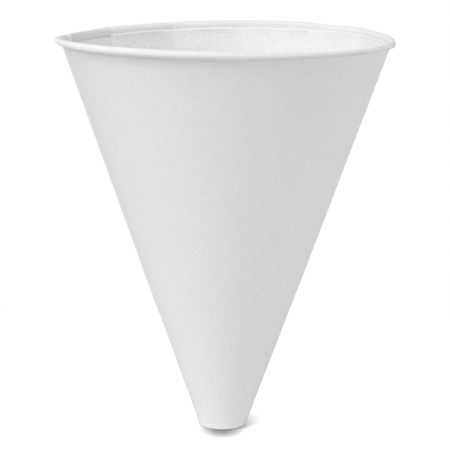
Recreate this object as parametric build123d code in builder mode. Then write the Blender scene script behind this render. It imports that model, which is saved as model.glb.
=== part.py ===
from build123d import *
from math import atan2, cos, degrees, radians, sin, tan
import os

os.makedirs("parts", exist_ok=True)

# A cone cup wrapped from one sheet of paper. The sheet laps over itself along one seam,
# its mouth is rolled outward, and its tip is folded up into the cup so that it stands.
# The stiff lap pushes the mouth out of round, so the foot isn't quite below its middle.
# Origin on the table, below the middle of the mouth's width and depth. +Z runs up to the mouth.

# The sheet and the cup as a whole
paper = 0.28              # thickness of the sheet
height = 117.5            # from the table to the top of the rolled rim
rim_diameter = 98.4       # over the rolled rim, before the lap pushes it out of round
foot_diameter = 13.8      # where the wall meets the table, at the middle of the sheet

# The rolled rim, and the upright band below it
roll_diameter = 1.95      # across the roll
curl_gap = 0.1            # air between the band and the tail inside the roll
roll_turn = 270           # degrees of the outer turn
tail_turn = 220           # degrees that the tail curls on inside the roll
band_depth = 2.45         # from the top of the roll down to the foot of the band
shoulder_step = 0.24      # how far the band stands outside the line of the wall
shoulder_slope = 45       # degrees above level
shoulder_bend = 0.2       # bend radius at the middle of the sheet

# The foot and the tip that is tucked up inside it
fold_bend = 0.3           # bend radius at the middle of the sheet
foot_land = 0.5           # width of the flat ring that the cup stands on
tip_bend = 0.6            # rounding of the tucked tip, at the middle of the sheet
foot_level = 1.1          # height up to which the foot is round

# The mouth's outline from above: arcs that run into each other, the same on both sides of the
# nose that the lap makes. Each has its radius as a share of the round band's, and its end in
# degrees that the outline has turned since the nose. One more arc closes it at the far side.
nose_facing = 150         # the way the nose points, in degrees anticlockwise from +X
mouth_bends = [(0.598, 24.5), (1.7, 33.6), (1.084, 136.6)]
nose_out = 0.513          # middle of the nose's arc from the foot's middle, towards the nose
nose_across = -0.0114     # and across it, both as shares of the round band's radius

# The lap seam. Inside the cup its cut edge shows where the nose's arc starts
lap_turn = 38             # degrees the outline turns from there to the cut edge that shows outside
climb_width = 1.2         # width in which the sheet climbs over the inner cut edge
climb_level = 12          # height from which the inner cut edge stands as a step
band_nick = 0.12          # depth of the inner cut edge where it crosses the band

half = paper / 2
foot_radius = foot_diameter / 2
roll_bend = roll_diameter / 2 - half
tail_bend = roll_bend - paper - curl_gap
roll_centre = height - roll_diameter / 2
band_radius = rim_diameter / 2 - roll_diameter + half

# Corners of the sheet's middle line for a round mouth, before they are rounded
foot_corner = Vector(foot_radius, half)
shoulder_low = Vector(band_radius - shoulder_step, height - band_depth)
shoulder_high = shoulder_low + Vector(shoulder_step, shoulder_step * tan(radians(shoulder_slope)))
wall_line = shoulder_low - foot_corner
wall_up = wall_line.normalized()
wall_out = Vector(wall_up.Y, -wall_up.X)
lean = degrees(atan2(wall_line.X, wall_line.Y))
rise = 90 - lean
level_half = half / cos(radians(lean))


def trim(bend, turn):
    # Length that rounding a corner takes from the straight runs beside it
    return bend * tan(radians(turn) / 2)


fold_trim = trim(fold_bend, rise)
low_trim = trim(shoulder_bend, rise - shoulder_slope)
high_trim = trim(shoulder_bend, 90 - shoulder_slope)
tuck_radius = foot_radius - foot_land - 2 * fold_trim
tip_top = half + tuck_radius / tan(radians(lean)) - tip_bend / sin(radians(lean)) + tip_bend
mouth_level = shoulder_low.Y - paper

# Runs of the sheet: straight ones by length, and bends by radius and degrees, left turns positive
tuck_run = [
    ("bend", tip_bend, -rise),
    ("straight", tuck_radius / sin(radians(lean)) - trim(tip_bend, 2 * rise) - fold_trim),
    ("bend", fold_bend, rise),
    ("straight", foot_land),
    ("bend", fold_bend, rise),
]
rim_run = [
    ("bend", shoulder_bend, shoulder_slope - rise),
    ("straight", (shoulder_high - shoulder_low).length - low_trim - high_trim),
    ("bend", shoulder_bend, 90 - shoulder_slope),
    ("straight", roll_centre - shoulder_high.Y - high_trim),
    ("bend", roll_bend, -roll_turn),
    ("bend", tail_bend, -tail_turn),
]


def wall_radius(level):
    # Radius of the sheet's middle line at a level, for a round mouth
    return foot_radius + (level - half) * tan(radians(lean))


def sheet_face(end, heading, run, shift):
    # One face of the sheet, shifted to the right of its middle line, which is outward on the wall
    face = []
    for kind, *size in run:
        if kind == "straight":
            piece = PolarLine(end, size[0], direction=heading)
        else:
            bend, turn = size
            piece = JernArc(end, heading, bend + shift if turn > 0 else bend - shift, turn)
        end = piece @ 1
        heading = piece % 1
        face.append(piece)
    return face


def bearing(angle):
    # Level direction, by degrees turned from the nose's
    turned = radians(nose_facing + angle)
    return Vector(cos(turned), sin(turned))


def mouth_outline():
    # Arcs of the band, right round: middle, radius, and start and end in degrees from the nose
    middle = bearing(0) * nose_out * band_radius + bearing(90) * nose_across * band_radius
    nose = middle
    start, radius = 0, 0
    side = []
    for share, end in mouth_bends:
        if side:
            middle += bearing(start) * (radius - share * band_radius)
        radius = share * band_radius
        side.append((middle, radius, start, end))
        start = end
    far_radius = radius + (middle - nose).dot(bearing(90)) / sin(radians(start))
    far = middle + bearing(start) * (radius - far_radius)
    arcs = [(nose, side[0][1], -side[0][3], side[0][3])]
    arcs += side[1:]
    arcs.append((far, far_radius, start, 360 - start))
    for middle, radius, start, end in reversed(side[1:]):
        across = (middle - nose).dot(bearing(90))
        arcs.append((middle - bearing(90) * 2 * across, radius, -end, -start))
    return arcs


def wall_slice(arc, level, inner, outer):
    # Level slice of the wall along one arc of the outline, between two shifts from the sheet's
    # middle line. Round at the foot, it takes on the mouth's outline evenly on the way up
    middle, bend, start, end = arc
    share = (level - foot_level) / (mouth_level - foot_level)
    radius = wall_radius(level) + share * (bend - band_radius)
    with BuildSketch(Plane.XY.offset(level)) as piece:
        with BuildLine():
            near = CenterArc(middle * share, radius + inner, nose_facing + start, end - start)
            far = CenterArc(middle * share, radius + outer, nose_facing + start, end - start)
            Line(near @ 0, far @ 0)
            Line(near @ 1, far @ 1)
        make_face()
    return piece.sketch


def wall_ends(arc, inner, outer):
    # The slices that the wall is ruled between
    return [wall_slice(arc, level, inner, outer) for level in (foot_level, mouth_level)]


with BuildSketch(Plane.XZ) as foot_section:
    with BuildLine():
        inside = sheet_face(Vector(0, tip_top + half), Vector(1, 0), tuck_run, -half)
        outside = sheet_face(Vector(0, tip_top - half), Vector(1, 0), tuck_run, half)
        Line(inside[0] @ 0, outside[0] @ 0)
        Polyline(
            inside[-1] @ 1,
            (wall_radius(foot_level) - level_half, foot_level),
            (wall_radius(foot_level) + level_half, foot_level),
            outside[-1] @ 1,
        )
    make_face()

with BuildSketch(Plane.XZ) as rim_section:
    with BuildLine():
        bend_start = shoulder_low - wall_up * low_trim
        inside = sheet_face(bend_start - wall_out * half, wall_up, rim_run, -half)
        outside = sheet_face(bend_start + wall_out * half, wall_up, rim_run, half)
        Line(inside[-1] @ 1, outside[-1] @ 1)
        Polyline(
            inside[0] @ 0,
            (wall_radius(mouth_level) - level_half, mouth_level),
            (wall_radius(mouth_level) + level_half, mouth_level),
            outside[0] @ 0,
        )
    make_face()

mouth = mouth_outline()
nose_middle, nose_radius, lap_start = mouth[0][:3]
lap = (nose_middle, nose_radius, lap_start, lap_start + lap_turn)

with BuildPart() as cone_cup:
    # The foot and the tip tucked up inside it
    revolve(foot_section.sketch, axis=Axis.Z)

    # The wall above it, and the shoulder, band and roll, follow the outline arc by arc
    for arc in mouth:
        middle, bend, start, end = arc
        loft(wall_ends(arc, -level_half, level_half), ruled=True)
        place = Location(middle + bearing(start) * (bend - band_radius), (0, 0, nose_facing + start))
        revolve(place * rim_section.sketch, axis=Axis(middle, (0, 0, 1)), revolution_arc=end - start)

    # The outer layer of the lap, from the foot to the shoulder
    loft(wall_ends(lap, 0, level_half + paper), ruled=True)

    # Along the inner cut edge, from the foot to the mouth
    edge_foot = bearing(lap_start) * wall_radius(foot_level) + Vector(0, 0, foot_level)
    edge_radius = nose_radius + wall_radius(mouth_level) - band_radius
    edge_mouth = nose_middle + bearing(lap_start) * edge_radius + Vector(0, 0, mouth_level)
    edge_line = edge_mouth - edge_foot
    edge_back = bearing(lap_start - 90)

    # The sheet climbs from the wall's face to the lap's face
    with BuildSketch(Plane(edge_foot, x_dir=edge_back, z_dir=(0, 0, 1))):
        Polygon((0, 0), (climb_width, 0), (0, level_half + paper), align=None)
    extrude(amount=edge_line.length, dir=edge_line)

    # Inside, the climbing sheet leaves the cut edge of the inner layer standing as a step
    step_foot = edge_foot + edge_line * ((climb_level - foot_level) / edge_line.Z)
    with BuildSketch(Plane(step_foot, x_dir=edge_back, z_dir=(0, 0, 1))):
        Polygon((0, -paper), (climb_width, -paper), (climb_width, -half), (0, half), align=None)
    extrude(amount=(edge_mouth - step_foot).length, dir=edge_line, mode=Mode.SUBTRACT)

    # The same edge crosses the band and the side of the roll as a shallower step
    band_foot = nose_middle + bearing(lap_start) * (nose_radius - half)
    with BuildSketch(Plane(band_foot + Vector(0, 0, shoulder_high.Y), x_dir=edge_back, z_dir=(0, 0, 1))):
        Polygon((0, -paper), (climb_width, -paper), (climb_width, 0), (0, band_nick), align=None)
    extrude(amount=height - shoulder_high.Y, mode=Mode.SUBTRACT)

mouth_middle = cone_cup.part.bounding_box().center()
cup = Pos(-mouth_middle.X, -mouth_middle.Y, 0) * cone_cup.part
cup.label = "cone_cup"
export_step(cup, "parts/cone_cup.step")
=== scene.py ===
from math import atan2, ceil, cos, degrees, exp, pi, radians, sin, tan

import bpy
from mathutils import Matrix, Vector, noise


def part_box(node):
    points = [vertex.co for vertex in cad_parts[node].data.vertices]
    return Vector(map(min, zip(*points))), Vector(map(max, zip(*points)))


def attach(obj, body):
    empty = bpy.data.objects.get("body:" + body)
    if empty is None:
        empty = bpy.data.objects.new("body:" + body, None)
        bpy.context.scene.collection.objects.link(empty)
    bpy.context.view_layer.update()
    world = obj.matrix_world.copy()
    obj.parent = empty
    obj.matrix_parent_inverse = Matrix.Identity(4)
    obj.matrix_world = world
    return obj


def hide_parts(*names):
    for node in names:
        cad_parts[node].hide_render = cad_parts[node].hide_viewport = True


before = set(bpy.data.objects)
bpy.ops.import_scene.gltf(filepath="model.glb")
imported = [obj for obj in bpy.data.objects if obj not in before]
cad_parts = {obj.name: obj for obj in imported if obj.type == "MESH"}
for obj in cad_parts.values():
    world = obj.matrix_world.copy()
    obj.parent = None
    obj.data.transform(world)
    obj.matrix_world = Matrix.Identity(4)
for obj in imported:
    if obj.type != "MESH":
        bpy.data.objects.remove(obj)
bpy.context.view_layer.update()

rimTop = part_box("cone_cup")[1].z    # in metres
mm = 0.001

# The sheet, in millimetres and degrees. Azimuths run anticlockwise from +X as seen from above
sheet = {
    "paper": 0.28,            # thickness
    "rim": 98.4,              # over the rolled rim, before the lap pushes it out of round
    "foot": 13.8,             # across the foot, at the middle of the sheet
    "footPlace": (0.82, -1.02, 0),    # from below the middle of the mouth's width and depth
    "roll": 1.95,             # across the rolled rim
    "curlGap": 0.1,           # air between the band and the tail inside the roll
    "rollTurn": 270,
    "tailTurn": 220,
    "bandDepth": 2.45,        # from the top of the roll to the foot of the band
    "shoulderStep": 0.24,     # how far the band stands outside the line of the wall
    "shoulderSlope": 45,
    "shoulderBend": 0.2,
    "foldBend": 0.3,
    "footLand": 0.5,          # width of the flat ring that the cup stands on
    "tipBend": 0.6,           # rounding of the tip that is tucked up inside
}


def trim(bend, turn):
    # What rounding a corner takes from the straight runs beside it
    return bend * tan(radians(turn) / 2)


def advance(spot, bend, amount):
    # Moves a point and its heading along a straight run, or round a bend by so many degrees
    r, z, heading = spot
    if bend is None:
        return r + amount * cos(heading), z + amount * sin(heading), heading
    side = 1 if amount > 0 else -1
    after = heading + radians(amount)
    return (
        r + side * bend * (sin(after) - sin(heading)),
        z - side * bend * (cos(after) - cos(heading)),
        after,
    )


def bandRadius():
    # Of the sheet's middle line on the band, before the mouth is bent
    return sheet["rim"] / 2 - sheet["roll"] + sheet["paper"] / 2


def sheetRuns():
    # The folded sheet from the tucked tip to the tail of the roll: zone, bend radius, and length or degrees
    half = sheet["paper"] / 2
    top = rimTop / mm
    rollBend = sheet["roll"] / 2 - half
    tailBend = rollBend - sheet["paper"] - sheet["curlGap"]
    step = sheet["shoulderStep"]
    slope = sheet["shoulderSlope"]
    shoulderLow = Vector((bandRadius() - step, top - sheet["bandDepth"]))
    shoulderHigh = shoulderLow + Vector((step, step * tan(radians(slope))))
    wall = shoulderLow - Vector((sheet["foot"] / 2, half))
    lean = degrees(atan2(wall.x, wall.y))
    rise = 90 - lean
    foldTrim = trim(sheet["foldBend"], rise)
    lowTrim = trim(sheet["shoulderBend"], rise - slope)
    highTrim = trim(sheet["shoulderBend"], 90 - slope)
    tuckRadius = sheet["foot"] / 2 - sheet["footLand"] - 2 * foldTrim
    tuckLength = tuckRadius / sin(radians(lean)) - trim(sheet["tipBend"], 2 * rise) - foldTrim
    tipTop = half + tuckRadius / tan(radians(lean)) - sheet["tipBend"] / sin(radians(lean)) + sheet["tipBend"]
    runs = [
        ("tip", sheet["tipBend"], -rise),
        ("tuck", None, tuckLength),
        ("fold", sheet["foldBend"], rise),
        ("land", None, sheet["footLand"]),
        ("fold", sheet["foldBend"], rise),
        ("wall", None, wall.length - foldTrim - lowTrim),
        ("shoulder", sheet["shoulderBend"], slope - rise),
        ("band", None, (shoulderHigh - shoulderLow).length - lowTrim - highTrim),
        ("shoulder", sheet["shoulderBend"], 90 - slope),
        ("band", None, top - sheet["roll"] / 2 - shoulderHigh.y - highTrim),
        ("roll", rollBend, -sheet["rollTurn"]),
        ("tail", tailBend, -sheet["tailTurn"]),
    ]
    return runs, tipTop, lean


def apart(azimuth, other):
    # Signed degrees from one azimuth to another, the short way round
    return (azimuth - other + 180) % 360 - 180


def bulge(azimuth, middle, width):
    # 1 at an azimuth, fading away on both sides of it
    return exp(-(apart(azimuth, middle) / width) ** 2)


# How far handling has bent the mouth out of round, in millimetres at the rim
bent = {
    "oval": 1.55,             # half of what the long way across gains, and the short way loses
    "ovalAlong": 147.3,       # azimuth of the long way
    "seamPush": 3.05,         # the stiff lap stands further out
    "seamPushAt": 153.9,
    "seamPushWidth": 19.0,
    "threeWay": 0.22,         # a faint three-cornered bend
    "threeWayAt": 229.7,
    "shift": (-0.54, 0.98, 0),    # of the round mouth's middle over the foot's
    "tilt": (0.53, 0.27),     # rise of the rim towards +X and towards +Y
    "bow": 0.1,               # outward bulge half way up the wall
    "ripple": 0.05,           # soft unevenness of the wall
    "rippleLength": 17.0,
    "rimRipple": 0.05,        # and of the rim's height
    "rimRippleLength": 9.0,
    "rimRippleFall": 4,       # a power of the height: higher keeps it nearer the rim
}


def rimOffset(azimuth):
    # How far the bent mouth stands outside a true circle
    oval = bent["oval"] * cos(2 * radians(azimuth - bent["ovalAlong"]))
    threeWay = bent["threeWay"] * cos(3 * radians(azimuth - bent["threeWayAt"]))
    return oval + threeWay + bent["seamPush"] * bulge(azimuth, bent["seamPushAt"], bent["seamPushWidth"])


# The roll is fuller at the front left and flatter elsewhere, and it leans out at the left
uneven = {
    "width": 1.03,            # of the roll, as a share of its even size
    "widthSwing": 0.16,
    "widestAt": 220.0,
    "height": 0.88,           # likewise
    "heightGain": 0.3,        # more of it where the roll is full
    "fullAt": 235.0,
    "fullReach": 58.0,        # degrees either way
    "fullEdge": 4,            # a power: higher ends it more sharply
    "leanOut": 0.15,          # of the band and the roll, in millimetres
    "leanOutAt": 180.0,
    "leanOutReach": 30.0,
    # Pressed and lifted places: azimuth, reach, fall of the top in millimetres and share of the height lost
    "places": [
        (176, 14, 0.5, 0.36),     # left
        (318, 28, 0, 0.3),        # front right
        (0, 14, 0, -0.45),        # right
        (95, 28, -0.3, 0),        # back
        (132, 6, -0.25, 0),       # beside the lap
        (47, 9, 0.2, 0),          # back right
    ],
}


def bandShare(station):
    # 0 on the wall, rising to 1 across the shoulder and the band
    if station["zone"] in ("roll", "tail"):
        return 1
    above = station["z"] - rimTop / mm + sheet["bandDepth"]
    return min(max(above / (sheet["bandDepth"] - sheet["roll"] / 2), 0), 1)


def onUnevenRoll(azimuth, station, r, z):
    # Stretches the band and the roll outward from the band's inner face and downward from the top
    share = bandShare(station)
    if not share:
        return r, z
    wide = uneven["width"] + uneven["widthSwing"] * cos(radians(azimuth - uneven["widestAt"]))
    full = exp(-(apart(azimuth, uneven["fullAt"]) / uneven["fullReach"]) ** uneven["fullEdge"])
    tall = uneven["height"] + uneven["heightGain"] * full
    tall -= sum(loss * bulge(azimuth, at, reach) for at, reach, fall, loss in uneven["places"])
    fallen = sum(fall * bulge(azimuth, at, reach) for at, reach, fall, loss in uneven["places"])
    inner = sheet["rim"] / 2 - sheet["roll"]
    top = rimTop / mm
    out = uneven["leanOut"] * bulge(azimuth, uneven["leanOutAt"], uneven["leanOutReach"])
    return (
        inner + (r - inner) * (1 + (wide - 1) * share) + out * share,
        top - (top - z) * (1 + (tall - 1) * share) - fallen * share,
    )


# The lap seam
seam = {
    "innerEdge": 136.3,       # azimuth of the cut edge that shows inside
    "outerEdge": 156.8,       # azimuth of the cut edge that shows outside, and inside on the band
    "lapStart": 0.8,          # along the wall, above the foot
    "climbWidth": 1.2,        # width in which the sheet climbs over the inner edge
    "climbStart": 12.0,       # along the wall, where that edge starts to show inside
    "flapProud": 0.45,        # how far the doubled sheet stands in from the rest of the band
    "cornerLift": 0.25,       # its cut corner on top of the roll
    "cornerWidth": 0.7,
    "flapFlat": 40,           # degrees of the roll that the stiff flap keeps upright
    "flapReach": 150,         # degrees of the roll in which it sinks back flush
}


def inLap(azimuth):
    return seam["innerEdge"] < azimuth < seam["outerEdge"]


def climb(azimuth, r):
    # 0 to 1 as the sheet climbs over the inner cut edge
    back = radians(seam["innerEdge"] - azimuth) * r
    return 1 - back / seam["climbWidth"] if 0 <= back < seam["climbWidth"] else 0


def outerShift(azimuth, station):
    # Outward shift of the sheet's outer face, which the lap doubles on the wall
    if station["zone"] != "wall" or station["along"] < seam["lapStart"]:
        return 0
    return sheet["paper"] * (1 if inLap(azimuth) else climb(azimuth, station["r"]))


def innerShift(azimuth, station):
    # Shift of the sheet's inner face: outward at the inner cut edge, inward where the flap lies on the band
    zone = station["zone"]
    along = station["along"]
    if zone == "wall" and along > seam["climbStart"]:
        return sheet["paper"] * climb(azimuth, station["r"])
    if zone not in ("shoulder", "band", "roll") or not inLap(azimuth):
        return 0
    if zone != "roll":
        # The flap runs straight down past the shoulder
        return (bandRadius() - station["r"]) / station["out"][0] - seam["flapProud"]
    past = radians(azimuth - seam["innerEdge"]) * station["r"]
    lift = seam["cornerLift"] * exp(-past / seam["cornerWidth"])
    fade = max(0, 1 + along / seam["flapReach"])
    straight = 0
    if along > -90:
        # It stays upright for the first part of the way to the top of the roll
        flat = min(-along, seam["flapFlat"])
        square = min(1, (90 + along) / (90 - seam["flapFlat"]))
        straight = -square * sheet["roll"] / 2 * (1 / cos(radians(flat)) - 1)
    return straight - fade * (seam["flapProud"] + lift)


# Short upright creases part the band into stretches, some of them nearly flat
crease = {
    "places": [109.6, 84.3, 67.9, 51, 27.2, 6, -14, -36, -57, -79, -102, -122, -147, -171],    # azimuths
    "flats": 6,               # nearly flat stretches, counted from the lap
    "flatness": 0.8,          # 1 would make them quite flat
    "depth": 0.1,             # millimetres
    "width": 0.45,            # degrees
    "reach": 3.0,             # millimetres down the wall in which they fade
    "faintest": 0.01,         # share of their depth at which they end
    "rollReach": 80,          # degrees of the roll in which they fade
    "plainAt": 4,             # azimuth where the band runs on from the wall with hardly a step
    "plainReach": 34,
    "plainDepth": 0.2,
}
flatEnds = [seam["innerEdge"]] + crease["places"][:crease["flats"]]


def creaseShift(azimuth, station):
    # Both faces of the band turn in at the creases, and run flatter between them
    zone = station["zone"]
    if zone not in ("wall", "shoulder", "band", "roll") or inLap(azimuth):
        return 0
    fade = max(0, 1 + station["along"] / crease["rollReach"]) if zone == "roll" else 1
    if zone == "wall":
        below = rimTop / mm - sheet["bandDepth"] - station["z"]
        fade = exp(-below / crease["reach"])
        if fade < crease["faintest"]:
            return 0
    sagitta = 0
    if flatEnds[-1] < azimuth < flatEnds[0]:
        ahead = min(at - azimuth for at in flatEnds if at >= azimuth)
        behind = min(azimuth - at for at in flatEnds if at <= azimuth)
        sagitta = radians(ahead) * radians(behind) / 2 * station["r"]
    ridge = crease["depth"] * sum(bulge(azimuth, at, crease["width"]) for at in crease["places"])
    plain = 0
    if zone != "wall":
        plain = crease["plainDepth"] * bulge(azimuth, crease["plainAt"], crease["plainReach"])
    return -fade * (ridge + plain + crease["flatness"] * sagitta)


# The fold at the foot stands a little proud of the wall, and its sides clear the table by a hair
foldLip = {
    "proud": 0.18,            # millimetres
    "level": 0.3,             # up to here, above the table
    "reach": 0.4,             # how soon it fades above that
    "inward": 0.2,            # how far in from the foot's edge it starts
    "arch": 0.22,             # how far its left and right sides rise
    "archReach": 3.0,
}


def sheetPoint(azimuth, station, shift, lean):
    # A point of the sheet, in metres, a shift away from its middle line
    outward, upward = station["out"]
    r, z = onUnevenRoll(azimuth, station, station["r"] + outward * shift, station["z"] + upward * shift)
    turn = radians(azimuth)
    share = 0 if station["zone"] in ("tip", "tuck", "fold", "land") else station["z"] * mm / rimTop
    offset = rimOffset(azimuth) * share
    rise = (bent["tilt"][0] * cos(turn) + bent["tilt"][1] * sin(turn)) * share - tan(radians(lean)) * offset
    offset += bent["bow"] * sin(pi * min(share, 1))
    if station["zone"] in ("fold", "wall") and station["r"] > sheet["foot"] / 2 - foldLip["inward"]:
        above = max(station["z"] - foldLip["level"], 0)
        offset += foldLip["proud"] * exp(-(above / foldLip["reach"]) ** 2)
    if station["zone"] in ("fold", "land", "wall"):
        rise += foldLip["arch"] * cos(turn) ** 2 * exp(-station["z"] / foldLip["archReach"])
    spot = Vector((r * cos(turn), r * sin(turn), z))
    if share:
        offset += bent["ripple"] * noise.noise(spot / bent["rippleLength"])
        nearRim = share ** bent["rimRippleFall"]
        rise += bent["rimRipple"] * nearRim * noise.noise(spot / bent["rimRippleLength"])
    spot += Vector((offset * cos(turn), offset * sin(turn), rise))
    spot += Vector(bent["shift"]) * share + Vector(sheet["footPlace"])
    return spot * mm


# How finely the skin is divided, in rows along the sheet and columns round the cup
grid = {
    "lengths": {"tuck": 3.0, "wall": 2.2, "band": 0.4, "land": 0.5},    # of the rows, in millimetres
    "turns": {"tip": 12, "fold": 12, "shoulder": 13, "roll": 9, "tail": 13},    # of the rows, in degrees
    "wallStarts": [0.2, 0.4, 0.7],    # more rows where the wall leaves the foot
    "wallEnd": 0.03,          # and one just before its other end
    "columns": 1.5,           # degrees
    "room": 0.35,             # even columns keep this far from the close ones
    "besideCut": (-1.2, -0.8, -0.45, -0.2, -0.012, 0.012, 0.25, 0.6, 1.0),    # degrees
    "besideCrease": (-2, -1, -0.5, 0, 0.5, 1, 2),    # in widths of a crease
    "sharp": 38,              # edges that turn more than this stay sharp
}


def newStation(zone, spot, along):
    # A point of the sheet's middle line, with its outward direction and its way along its run
    r, z, heading = spot
    return {"zone": zone, "r": r, "z": z, "out": (sin(heading), -cos(heading)), "along": along}


def sheetStations():
    # The rows of the skin, from the tucked tip to the tail of the roll
    runs, tipTop, lean = sheetRuns()
    spot = (0.0, tipTop, 0.0)
    stations = []
    for zone, bend, amount in runs:
        step = grid["turns"].get(zone) or grid["lengths"][zone]
        count = max(1, ceil(abs(amount) / step))
        places = [amount * i / count for i in range(count)]
        if zone == "wall":
            places = sorted(places + grid["wallStarts"] + [amount - grid["wallEnd"]])
        stations += [newStation(zone, advance(spot, bend, along), along) for along in places]
        spot = advance(spot, bend, amount)
    stations.append(newStation(zone, spot, amount))
    return stations, lean


def columnAzimuths():
    # Even columns round the cup, with close ones at the cut edges and the creases
    cuts = [seam["innerEdge"], seam["outerEdge"]]
    close = [cut + away for cut in cuts for away in grid["besideCut"]]
    close += [at + crease["width"] * away for at in crease["places"] for away in grid["besideCrease"]]
    even = [i * grid["columns"] for i in range(round(360 / grid["columns"]))]
    kept = [a for a in even if all(abs(apart(a, c)) > grid["room"] for c in close)]
    return sorted(a % 360 for a in kept + close)


# Where folding and handling have opened the fibres or smoothed them, and where the paper is painted paler as
# a highlight on edges that catch the light
scuffsAndHighlights = {
    "foldWidth": 0.4,         # in from the foot's edge, in millimetres
    "cutReach": 0.1,          # degrees beside the flap's cut edge
    "cutShare": 0.3,
    "creaseReach": 0.3,       # degrees beside the first crease of the band
    "shoulderFrom": 35,       # azimuths between which they come in along the shoulder's bend
    "shoulderFull": 65,
    "grain": {"shoulder": 0, "band": 0, "roll": -1},    # of the inner face, which has 1 elsewhere
}


def scuffAndHighlightMark(azimuth, station, face):
    # Share of paler paper, on the fold at the foot and inside the rim: partly open fibres, partly painted
    # highlight on the fold's edge, the shoulder, a crease and the flap's cut edge
    zone = station["zone"]
    if zone in ("fold", "land"):
        return 1 if station["r"] > sheet["foot"] / 2 - scuffsAndHighlights["foldWidth"] else 0
    if face > 0 or zone not in ("shoulder", "band", "roll"):
        return 0
    if abs(apart(azimuth, seam["outerEdge"])) < scuffsAndHighlights["cutReach"]:
        return scuffsAndHighlights["cutShare"]
    if zone != "shoulder":
        return 1 if abs(apart(azimuth, crease["places"][0])) < scuffsAndHighlights["creaseReach"] else 0
    shown = (azimuth - scuffsAndHighlights["shoulderFrom"]) / (scuffsAndHighlights["shoulderFull"] - scuffsAndHighlights["shoulderFrom"])
    return 0 if inLap(azimuth) else min(max(shown, 0), 1)


def buildCup():
    # One closed skin: the inner face, the outer face and the cut edge at the roll's tail
    stations, lean = sheetStations()
    azimuths = columnAzimuths()
    count = len(azimuths)
    half = sheet["paper"] / 2
    points = [sheetPoint(0, stations[0], -half, lean), sheetPoint(0, stations[0], half, lean)]
    marks = {"doubled": [0, 0], "scuffAndHighlight": [0, 0], "inside": [1, 0]}
    rows = stations[1:]
    for face in (-1, 1):
        for station in rows:
            zone = station["zone"]
            for azimuth in azimuths:
                shift = face * half + creaseShift(azimuth, station)
                shift += outerShift(azimuth, station) if face > 0 else innerShift(azimuth, station)
                points.append(sheetPoint(azimuth, station, shift, lean))
                marks["doubled"].append(1 if inLap(azimuth) and zone not in ("tip", "tuck") else 0)
                marks["scuffAndHighlight"].append(scuffAndHighlightMark(azimuth, station, face))
                marks["inside"].append(scuffsAndHighlights["grain"].get(zone, 1) if face < 0 else 0)

    def at(face, row, column):
        # Number of a point, after the two at the tip
        return 2 + (face * len(rows) + row) * count + column % count

    last = len(rows) - 1
    faces = []
    for column in range(count):
        after = column + 1
        faces.append((0, at(0, 0, column), at(0, 0, after)))
        faces.append((1, at(1, 0, after), at(1, 0, column)))
        faces.append((at(0, last, column), at(1, last, column), at(1, last, after), at(0, last, after)))
        for row in range(last):
            up = row + 1
            faces.append((at(0, row, column), at(0, up, column), at(0, up, after), at(0, row, after)))
            faces.append((at(1, row, column), at(1, row, after), at(1, up, after), at(1, up, column)))

    mesh = bpy.data.meshes.new("paperCup")
    mesh.from_pydata(points, [], faces)
    mesh.validate()
    for name, values in marks.items():
        mesh.attributes.new(name, "FLOAT", "POINT").data.foreach_set("value", values)
    mesh.shade_smooth()
    mesh.set_sharp_from_angle(angle=radians(grid["sharp"]))
    cup = bpy.data.objects.new("paperCup", mesh)
    bpy.context.scene.collection.objects.link(cup)
    print("cup skin:", len(points), "points,", sum(len(face) - 2 for face in faces), "triangles")
    return cup


class Wire:
    # A socket of a node tree that can stand in a Python expression, which adds the Math nodes
    def __init__(self, tree, socket=None):
        self.tree = tree
        self.socket = socket

    def node(self, kind, settings=None, inputs=None, output=0):
        made = self.tree.nodes.new(kind)
        for name, value in (settings or {}).items():
            setattr(made, name, value)
        for name, value in (inputs or {}).items():
            if isinstance(value, Wire):
                self.tree.links.new(value.socket, made.inputs[name])
            else:
                made.inputs[name].default_value = value
        return Wire(self.tree, made.outputs[output] if made.outputs else None)

    def math(self, operation, *values):
        return self.node("ShaderNodeMath", {"operation": operation}, dict(enumerate(values)))

    def blend(self, share, first, second):
        # A colour between two others: sockets 6 and 7 of a Mix node and its output 2 are colours
        return self.node("ShaderNodeMix", {"data_type": "RGBA"}, {0: share, 6: first, 7: second}, 2)

    def __add__(self, other):
        return self.math("ADD", self, other)

    def __radd__(self, other):
        return self.math("ADD", other, self)

    def __sub__(self, other):
        return self.math("SUBTRACT", self, other)

    def __rsub__(self, other):
        return self.math("SUBTRACT", other, self)

    def __mul__(self, other):
        return self.math("MULTIPLY", self, other)

    def __rmul__(self, other):
        return self.math("MULTIPLY", other, self)


def newTree(owner):
    owner.use_nodes = True
    owner.node_tree.nodes.clear()
    return Wire(owner.node_tree)


# White uncoated paper. Scales are per millimetre
paper = {
    "colour": (0.87, 0.868, 0.862, 1),
    "doubledShadeColour": (0.80, 0.795, 0.78, 1),    # painted shade where two layers would let less light through
    "doubledShadeShare": 0.55,
    "scuffAndHighlightColour": (0.95, 0.95, 0.945, 1),    # where the fibres lie open, and painted highlight on edges
    "scuffAndHighlightShare": 0.7,
    "cloudScale": 0.32,       # flocs in the sheet
    "cloudDetail": 4.0,
    "cloudStrength": 0.035,
    "grainScale": 3.0,        # fine tooth of the surface
    "grainDetail": 1.0,
    "grainStrength": 0.3,
    "grainInside": 0.2,       # more of it on the rougher face, which is inside
    "brightest": 1.1,         # limit of the grain, over the plain colour
    "fibreScale": 1.1,        # longer fibres, which show in the bump and the roughness alone
    "fibreDetail": 5.0,
    "fibreRoughness": 0.7,
    "fibreBend": 0.6,
    "fibreStretch": (1.0, 1.0, 0.16),
    "fibreTurn": (0.4, 0.3, 0),
    "bump": 0.35,
    "bumpHeight": 0.05,       # millimetres
    "bumpShares": {"grain": 0.6, "fibre": 0.7, "cloud": 0.3},
    "roughness": 0.72,
    "roughnessSwing": 0.12,
    "specular": 0.3,
}


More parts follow.
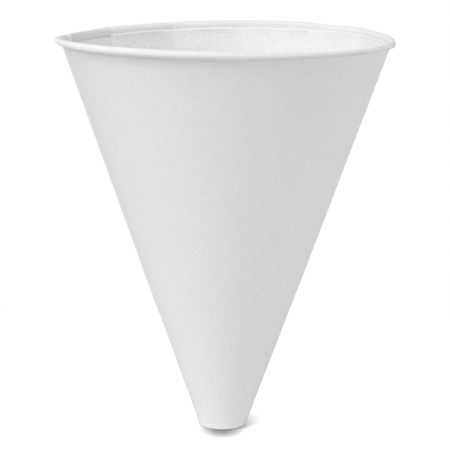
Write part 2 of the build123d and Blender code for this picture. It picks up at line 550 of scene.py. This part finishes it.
def paperMaterial():
    made = bpy.data.materials.new("whitePaper")
    tree = newTree(made)
    place = tree.node("ShaderNodeNewGeometry")
    spot = tree.node("ShaderNodeVectorMath", {"operation": "SCALE"}, {0: place, "Scale": 1 / mm})
    cloud = tree.node("ShaderNodeTexNoise", {}, {
        "Vector": spot, "Scale": paper["cloudScale"], "Detail": paper["cloudDetail"],
    })
    grain = tree.node("ShaderNodeTexNoise", {}, {
        "Vector": spot, "Scale": paper["grainScale"], "Detail": paper["grainDetail"],
    })
    fibreSpot = tree.node("ShaderNodeMapping", {}, {
        "Vector": spot, "Rotation": paper["fibreTurn"], "Scale": paper["fibreStretch"],
    })
    fibre = tree.node("ShaderNodeTexNoise", {}, {
        "Vector": fibreSpot,
        "Scale": paper["fibreScale"],
        "Detail": paper["fibreDetail"],
        "Roughness": paper["fibreRoughness"],
        "Distortion": paper["fibreBend"],
    })
    doubled = tree.node("ShaderNodeAttribute", {"attribute_name": "doubled"}, {}, "Fac")
    scuffAndHighlight = tree.node("ShaderNodeAttribute", {"attribute_name": "scuffAndHighlight"}, {}, "Fac")
    inside = tree.node("ShaderNodeAttribute", {"attribute_name": "inside"}, {}, "Fac")
    grainDepth = paper["grainStrength"] + inside * paper["grainInside"]
    tone = 1 + (cloud - 0.5) * paper["cloudStrength"] + (grain - 0.5) * grainDepth
    tone = tree.math("MINIMUM", tone, paper["brightest"])
    # Painted shade on the lap, for the light that two layers let less through
    base = tree.blend(doubled * paper["doubledShadeShare"], paper["colour"], paper["doubledShadeColour"])
    # Paler paper on edges: partly open fibres, partly painted highlight
    base = tree.blend(scuffAndHighlight * paper["scuffAndHighlightShare"], base, paper["scuffAndHighlightColour"])
    colour = tree.node("ShaderNodeVectorMath", {"operation": "SCALE"}, {0: base, "Scale": tone})
    shares = paper["bumpShares"]
    relief = grain * shares["grain"] + fibre * shares["fibre"] + cloud * shares["cloud"]
    bump = tree.node("ShaderNodeBump", {}, {
        "Height": relief, "Strength": paper["bump"], "Distance": paper["bumpHeight"] * mm,
    })
    rough = paper["roughness"] + (fibre - 0.5) * paper["roughnessSwing"]
    shader = tree.node("ShaderNodeBsdfPrincipled", {}, {
        "Base Color": colour, "Roughness": rough, "Normal": bump, "Specular IOR Level": paper["specular"],
    })
    tree.node("ShaderNodeOutputMaterial", {}, {"Surface": shader})
    print("paper material ready")
    return made


# The pale floor. The camera sees it overexposed round the cup, and plain white further out. A painted shadow
# darkens it in front of the foot
ground = {
    "radius": 0.3,            # metres
    "sides": 96,
    "colour": (0.86, 0.86, 0.86, 1),
    "seenColour": (2.2, 2.2, 2.2, 1),    # over 1, so that only deep shadow shows to the camera
    "whiteFrom": 0.09,        # metres from the foot where it starts to turn plain white for the camera
    "whiteAt": 0.18,
    "shadeAt": (0.8, -5.6),   # middle of the painted shadow in front of the foot, in millimetres
    "shadeReach": (8.2, 15.0),    # sideways and in depth
    "shadeDepth": 0.12,       # what it leaves of the light at its middle
    "shadeFrom": 0.15,        # where it starts and ends to fade, as shares of its reach
    "shadeTo": 1.8,
}


def buildFloor():
    turns = [2 * pi * i / ground["sides"] for i in range(ground["sides"])]
    points = [(ground["radius"] * cos(turn), ground["radius"] * sin(turn), 0) for turn in turns]
    mesh = bpy.data.meshes.new("floor")
    mesh.from_pydata(points, [], [tuple(range(ground["sides"]))])
    floor = bpy.data.objects.new("floor", mesh)
    bpy.context.scene.collection.objects.link(floor)
    made = bpy.data.materials.new("paleFloor")
    tree = newTree(made)
    isCamera = tree.node("ShaderNodeLightPath", {}, {}, "Is Camera Ray")
    place = tree.node("ShaderNodeNewGeometry")
    away = tree.node("ShaderNodeVectorMath", {"operation": "LENGTH"}, {0: place}, "Value")
    plain = tree.node("ShaderNodeMapRange", {}, {
        "Value": away, "From Min": ground["whiteFrom"], "From Max": ground["whiteAt"],
    })
    # Painted shadow: the floor that the camera sees darkens in a soft patch in front of the foot
    across, deep = ground["shadeReach"]
    shadeSpot = tree.node("ShaderNodeMapping", {}, {
        "Vector": place,
        "Location": (-ground["shadeAt"][0] / across, -ground["shadeAt"][1] / deep, 0),
        "Scale": (1 / across / mm, 1 / deep / mm, 0),
    })
    reach = tree.node("ShaderNodeVectorMath", {"operation": "LENGTH"}, {0: shadeSpot}, "Value")
    shade = tree.node("ShaderNodeMapRange", {"interpolation_type": "SMOOTHSTEP"}, {
        "Value": reach,
        "From Min": ground["shadeFrom"],
        "From Max": ground["shadeTo"],
        "To Min": ground["shadeDepth"],
    })
    lit = tree.node("ShaderNodeBsdfDiffuse", {}, {"Color": ground["colour"]})
    dark = tree.node("ShaderNodeBsdfDiffuse", {}, {"Color": (0, 0, 0, 1)})
    lifted = tree.node("ShaderNodeBsdfDiffuse", {}, {"Color": ground["seenColour"]})
    shaded = tree.node("ShaderNodeMixShader", {}, {0: shade, 1: dark, 2: lifted})
    white = tree.node("ShaderNodeEmission", {}, {"Color": (1, 1, 1, 1), "Strength": 1})
    seen = tree.node("ShaderNodeMixShader", {}, {0: plain, 1: shaded, 2: white})
    shader = tree.node("ShaderNodeMixShader", {}, {0: isCamera, 1: lit, 2: seen})
    tree.node("ShaderNodeOutputMaterial", {}, {"Surface": shader})
    mesh.materials.append(made)
    print("floor ready")


# Soft lamps, with places and sizes in metres. Each points at the middle of the cup
lamps = {
    "keyLeft": {"place": (-0.75, -0.35, 0.55), "size": 0.6, "watts": 4.1, "colour": (0.99, 0.985, 1.0)},
    "frontTopLeft": {"place": (-0.2, -0.5, 0.85), "size": 0.4, "watts": 2.78, "colour": (1.0, 0.93, 0.83)},
    "rightLowFar": {"place": (1.2, -0.5, 0.1), "size": 0.8, "watts": 3.0, "colour": (1.0, 0.965, 0.9)},
    "frontMid": {"place": (0.15, -0.9, 0.5), "size": 0.4, "watts": 1.25, "colour": (0.79, 0.88, 1.0)},
    "rightNear": {"place": (0.35, 0.08, 0.2), "size": 0.15, "watts": 0.17, "colour": (0.92, 0.88, 1.0)},
}


def buildLamps():
    middle = Vector((0, 0, rimTop / 2))
    for name, lamp in lamps.items():
        light = bpy.data.lights.new(name, "AREA")
        light.shape = "SQUARE"
        light.size = lamp["size"]
        light.energy = lamp["watts"]
        light.color = lamp["colour"]
        holder = bpy.data.objects.new(name, light)
        holder.location = lamp["place"]
        holder.rotation_mode = "QUATERNION"
        holder.rotation_quaternion = (middle - holder.location).to_track_quat("-Z", "Y")
        bpy.context.scene.collection.objects.link(holder)
    print("lamps ready:", len(lamps))


# The room: even light from all round, and what the camera, glass and polish see of it
room = {
    "light": (0.28, 0.2855, 0.2985, 1),
    "seen": (1, 1, 1, 1),
}


def buildWorld():
    world = bpy.data.worlds.new("studio")
    tree = newTree(world)
    isCamera = tree.node("ShaderNodeLightPath", {}, {}, "Is Camera Ray")
    isGlossy = tree.node("ShaderNodeLightPath", {}, {}, "Is Glossy Ray")
    isThrough = tree.node("ShaderNodeLightPath", {}, {}, "Is Transmission Ray")
    seen = tree.math("MAXIMUM", tree.math("MAXIMUM", isCamera, isGlossy), isThrough)
    colour = tree.blend(seen, room["light"], room["seen"])
    sky = tree.node("ShaderNodeBackground", {}, {"Color": colour, "Strength": 1})
    tree.node("ShaderNodeOutputWorld", {}, {"Surface": sky})
    bpy.context.scene.world = world
    print("world ready")


# The camera of the photograph
view = {
    "aim": (0.00084, -0.00102, 0.06113),    # metres
    "distance": 0.7,
    "elevation": 9.8,         # degrees
    "roll": 0.76,
    "focal": 2341.4,          # in pixels of the picture
    "picture": 450,
    "sensor": 36.0,
    "clip": (0.01, 20),
}


def buildCamera():
    up = radians(view["elevation"])
    lean = radians(view["roll"])
    back = Vector((0, -cos(up), sin(up)))
    level = Vector((1, 0, 0))
    upright = back.cross(level)
    right = level * cos(lean) + upright * sin(lean)
    top = upright * cos(lean) - level * sin(lean)
    camera = bpy.data.cameras.new("camera")
    camera.sensor_width = view["sensor"]
    camera.lens = view["focal"] / view["picture"] * view["sensor"]
    camera.clip_start, camera.clip_end = view["clip"]
    holder = bpy.data.objects.new("camera", camera)
    turned = Matrix((right, top, back)).transposed().to_4x4()
    holder.matrix_world = Matrix.Translation(Vector(view["aim"]) + back * view["distance"]) @ turned
    bpy.context.scene.collection.objects.link(holder)
    bpy.context.scene.camera = holder
    print("camera ready")


cup = buildCup()
cup.data.materials.append(paperMaterial())
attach(cup, "root")
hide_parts("cone_cup")
buildFloor()
buildLamps()
buildWorld()
buildCamera()
bpy.context.scene.view_settings.view_transform = "Standard"
